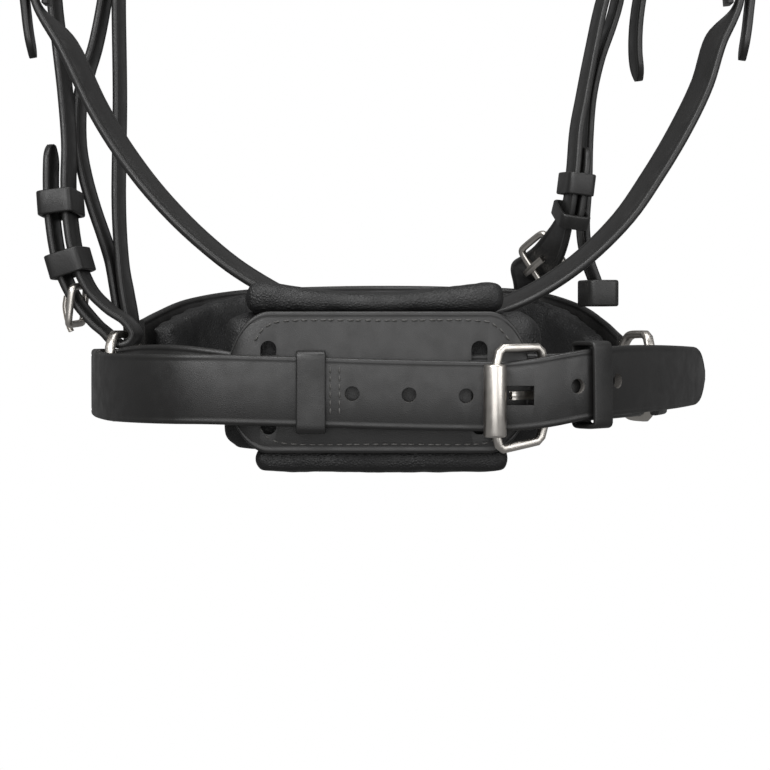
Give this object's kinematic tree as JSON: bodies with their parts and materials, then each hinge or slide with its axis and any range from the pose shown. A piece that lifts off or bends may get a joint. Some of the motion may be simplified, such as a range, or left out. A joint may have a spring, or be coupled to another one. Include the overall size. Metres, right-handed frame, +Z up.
{
  "type": "bitless hackamore",
  "caption": "Leather bitless bridle: headpiece, cheek straps, throatlatch and a padded noseband closed by a chin strap with a roller buckle over a chin pad.",
  "frame": {"origin": "centre of the headpiece pad underside, where it rests on the poll", "axes": "+Z up along the hanging headstall, +Y towards the nosepiece (the front of the head), -Y towards the chin strap, -X the left side of the head"},
  "size_m": [0.303, 0.2152, 0.5136],
  "materials": {
    "bridle_leather": "smooth black bridle leather with a low wax sheen",
    "soft_leather": "soft grained black padding leather",
    "nickel": "satin nickel plate"
  },
  "bodies": {
    "headstall": {"billet_buckle_left_frame": "nickel", "billet_buckle_right_frame": "nickel", "billet_keeper_lower_left": "bridle_leather", "billet_keeper_lower_right": "bridle_leather", "billet_keeper_right": "bridle_leather", "browband": "bridle_leather", "browband_loop_left": "bridle_leather", "browband_loop_right": "bridle_leather", "buckle_chape": "bridle_leather", "cheek_billet_right": "bridle_leather", "cheek_buckle_left_frame": "nickel", "cheek_buckle_right_frame": "nickel", "cheekpiece_left": "bridle_leather", "cheekpiece_right": "bridle_leather", "chin_buckle_frame": "nickel", "chin_keeper_fixed": "bridle_leather", "chin_keeper_loop": "bridle_leather", "chin_pad_bottom_flap": "soft_leather", "chin_pad_facing": "bridle_leather", "chin_pad_padding": "soft_leather", "chin_pad_top_roll": "soft_leather", "chin_strap": "bridle_leather", "crown_pad": "soft_leather", "crownpiece": "bridle_leather", "hanger_buckle_left_frame": "nickel", "hanger_buckle_right_frame": "nickel", "inner_cheek_strap_left": "bridle_leather", "noseband_hanger_left": "bridle_leather", "noseband_hanger_right": "bridle_leather", "nosepiece": "bridle_leather", "nosepiece_loop_right": "bridle_leather", "nosepiece_padding": "soft_leather", "ring_tab_left": "bridle_leather", "ring_tab_right": "bridle_leather", "side_ring_left": "nickel", "side_ring_right": "nickel", "throat_buckle_left_frame": "nickel", "throat_buckle_right_frame": "nickel", "throatlatch": "bridle_leather"},
    "billet_buckle_left_tongue": {"billet_buckle_left_tongue": "nickel"},
    "billet_buckle_right_tongue": {"billet_buckle_right_tongue": "nickel"},
    "cheek_buckle_left_tongue": {"cheek_buckle_left_tongue": "nickel"},
    "cheek_buckle_right_tongue": {"cheek_buckle_right_tongue": "nickel"},
    "hanger_buckle_left_tongue": {"hanger_buckle_left_tongue": "nickel"},
    "hanger_buckle_right_tongue": {"hanger_buckle_right_tongue": "nickel"},
    "throat_buckle_left_tongue": {"throat_buckle_left_tongue": "nickel"},
    "throat_buckle_right_tongue": {"throat_buckle_right_tongue": "nickel"},
    "chin_roller": {"chin_buckle_roller": "nickel"},
    "chin_tongue": {"chin_buckle_tongue": "nickel"},
    "runner_keeper": {"billet_keeper_upper_left": "bridle_leather"}
  },
  "joints": [
    {"name": "billet_buckle_left_tongue_lift", "type": "hinge", "parent": "headstall", "child": "billet_buckle_left_tongue", "pos_m": [-0.12474, 0.00735, -0.43042], "axis": [0.2021, 0.9783, 0.0448], "range_deg": [0, 15]},
    {"name": "billet_buckle_right_tongue_lift", "type": "hinge", "parent": "headstall", "child": "billet_buckle_right_tongue", "pos_m": [0.07155, 0.03792, -0.41499], "axis": [-0.5496, 0.1275, 0.8257], "range_deg": [0, 15]},
    {"name": "cheek_buckle_left_tongue_lift", "type": "hinge", "parent": "headstall", "child": "cheek_buckle_left_tongue", "pos_m": [-0.13099, 0.02642, -0.232], "axis": [-0.2201, -0.9755, 0], "range_deg": [0, 15]},
    {"name": "cheek_buckle_right_tongue_lift", "type": "hinge", "parent": "headstall", "child": "cheek_buckle_right_tongue", "pos_m": [0.09599, 0.03242, -0.232], "axis": [-0.2201, 0.9755, 0], "range_deg": [0, 15]},
    {"name": "hanger_buckle_left_tongue_lift", "type": "hinge", "parent": "headstall", "child": "hanger_buckle_left_tongue", "pos_m": [-0.10799, 0.04642, -0.232], "axis": [-0.2201, -0.9755, 0], "range_deg": [0, 15]},
    {"name": "hanger_buckle_right_tongue_lift", "type": "hinge", "parent": "headstall", "child": "hanger_buckle_right_tongue", "pos_m": [0.10899, 0.04942, -0.236], "axis": [-0.2201, 0.9755, 0], "range_deg": [0, 15]},
    {"name": "throat_buckle_left_tongue_lift", "type": "hinge", "parent": "headstall", "child": "throat_buckle_left_tongue", "pos_m": [-0.13581, -0.029, -0.3], "axis": [0, -1, 0], "range_deg": [0, 15]},
    {"name": "throat_buckle_right_tongue_lift", "type": "hinge", "parent": "headstall", "child": "throat_buckle_right_tongue", "pos_m": [0.13781, -0.029, -0.3], "axis": [0, 1, 0], "range_deg": [0, 15]},
    {"name": "chin_roller_spin", "type": "hinge", "parent": "headstall", "child": "chin_roller", "pos_m": [0.0406, -0.0997, -0.4741], "axis": [0, 0, 1], "continuous": true},
    {"name": "chin_tongue_lift", "type": "hinge", "parent": "headstall", "child": "chin_tongue", "pos_m": [0.0596, -0.0892, -0.4722], "axis": [0, 0, 1], "range_deg": [0, 4]},
    {"name": "runner_keeper_slide", "type": "slide", "parent": "headstall", "child": "runner_keeper", "axis": [0.0847, -0.1446, -0.9859], "range_m": [-0.002, 0.002]}
  ]
}
